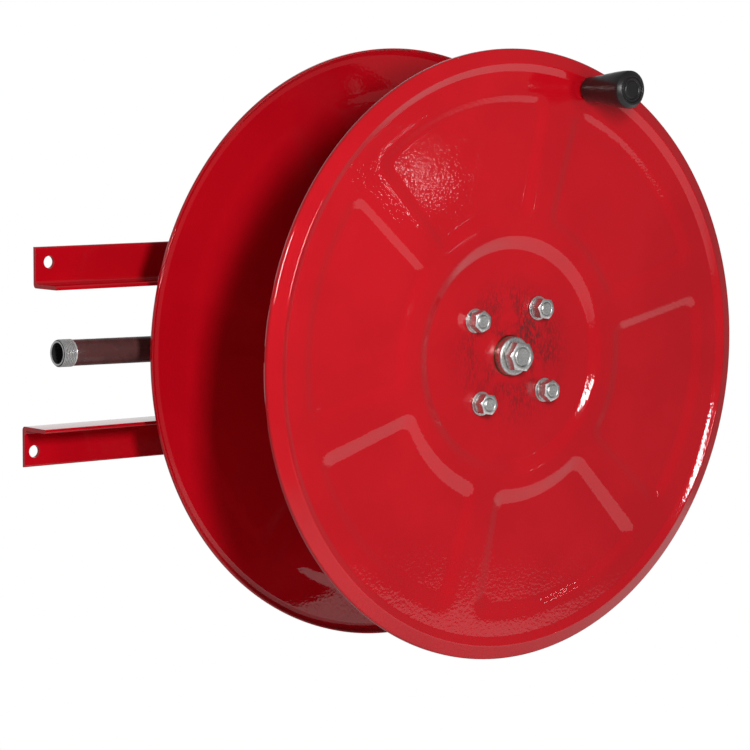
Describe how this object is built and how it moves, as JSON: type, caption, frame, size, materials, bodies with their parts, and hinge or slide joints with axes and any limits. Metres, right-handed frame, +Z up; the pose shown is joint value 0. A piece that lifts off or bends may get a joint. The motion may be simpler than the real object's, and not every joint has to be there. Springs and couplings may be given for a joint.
{
  "type": "fire hose reel",
  "caption": "Wall-hung manual fire hose reel, empty: two pressed steel discs on a drum, turned by a crank grip round a hollow spindle fed by an inlet pipe, on two angle bars.",
  "frame": {"origin": "where the reel's axis meets the wall plane, which the backs of the two angle bars touch", "axes": "+Z up, +Y into the wall along the reel's axis, +X to the right as seen from the room; the reel's face looks along -Y"},
  "size_m": [0.804, 0.3283, 0.6],
  "materials": {
    "red_paint": "gloss red enamel with a fine orange peel",
    "maroon_paint": "dark red-brown paint, satin",
    "zinc_plate": "bright zinc plate",
    "galvanised_steel": "dull galvanised steel",
    "cast_iron": "dark cast iron",
    "bronze": "plain bearing bronze",
    "brass": "turned brass",
    "seal_rubber": "black rubber",
    "black_plastic": "moulded black plastic"
  },
  "bodies": {
    "wall_frame": {"upper_angle_bar": "red_paint", "lower_angle_bar": "red_paint", "carrier_channel": "red_paint", "carrier_bolt_1": "zinc_plate", "carrier_bolt_2": "zinc_plate", "carrier_bolt_3": "zinc_plate", "carrier_bolt_4": "zinc_plate", "carrier_nut_1": "zinc_plate", "carrier_nut_2": "zinc_plate", "carrier_nut_3": "zinc_plate", "carrier_nut_4": "zinc_plate", "inlet_pipe": "maroon_paint", "inlet_nipple": "galvanised_steel", "inlet_elbow": "cast_iron", "spindle": "zinc_plate", "spindle_locknut": "zinc_plate", "spindle_collar": "zinc_plate", "spindle_nut": "zinc_plate", "rear_thrust_washer": "bronze"},
    "reel": {"front_disc": "red_paint", "rear_disc": "red_paint", "drum_core": "red_paint", "hub": "cast_iron", "front_bush": "bronze", "rear_bush": "bronze", "front_seal_ring": "seal_rubber", "rear_seal_ring": "seal_rubber", "hose_outlet": "galvanised_steel", "hose_tail": "brass", "tie_bolt_1": "zinc_plate", "tie_bolt_2": "zinc_plate", "tie_bolt_3": "zinc_plate", "tie_bolt_4": "zinc_plate", "tie_nut_1": "zinc_plate", "tie_nut_2": "zinc_plate", "tie_nut_3": "zinc_plate", "tie_nut_4": "zinc_plate", "front_washer_1": "zinc_plate", "front_washer_2": "zinc_plate", "front_washer_3": "zinc_plate", "front_washer_4": "zinc_plate", "spring_washer_1": "zinc_plate", "spring_washer_2": "zinc_plate", "spring_washer_3": "zinc_plate", "spring_washer_4": "zinc_plate", "rear_washer_1": "zinc_plate", "rear_washer_2": "zinc_plate", "rear_washer_3": "zinc_plate", "rear_washer_4": "zinc_plate", "handle_pin": "zinc_plate", "handle_washer": "zinc_plate", "handle_nut": "zinc_plate"},
    "grip": {"grip": "black_plastic", "grip_end_cap": "black_plastic"}
  },
  "joints": [
    {"name": "reel_spin", "type": "hinge", "parent": "wall_frame", "child": "reel", "pos_m": [0, 0, 0], "axis": [0, -1, 0], "continuous": true},
    {"name": "grip_spin", "type": "hinge", "parent": "reel", "child": "grip", "pos_m": [0.09298, -0.294, 0.2604], "axis": [0, -1, 0], "continuous": true}
  ]
}
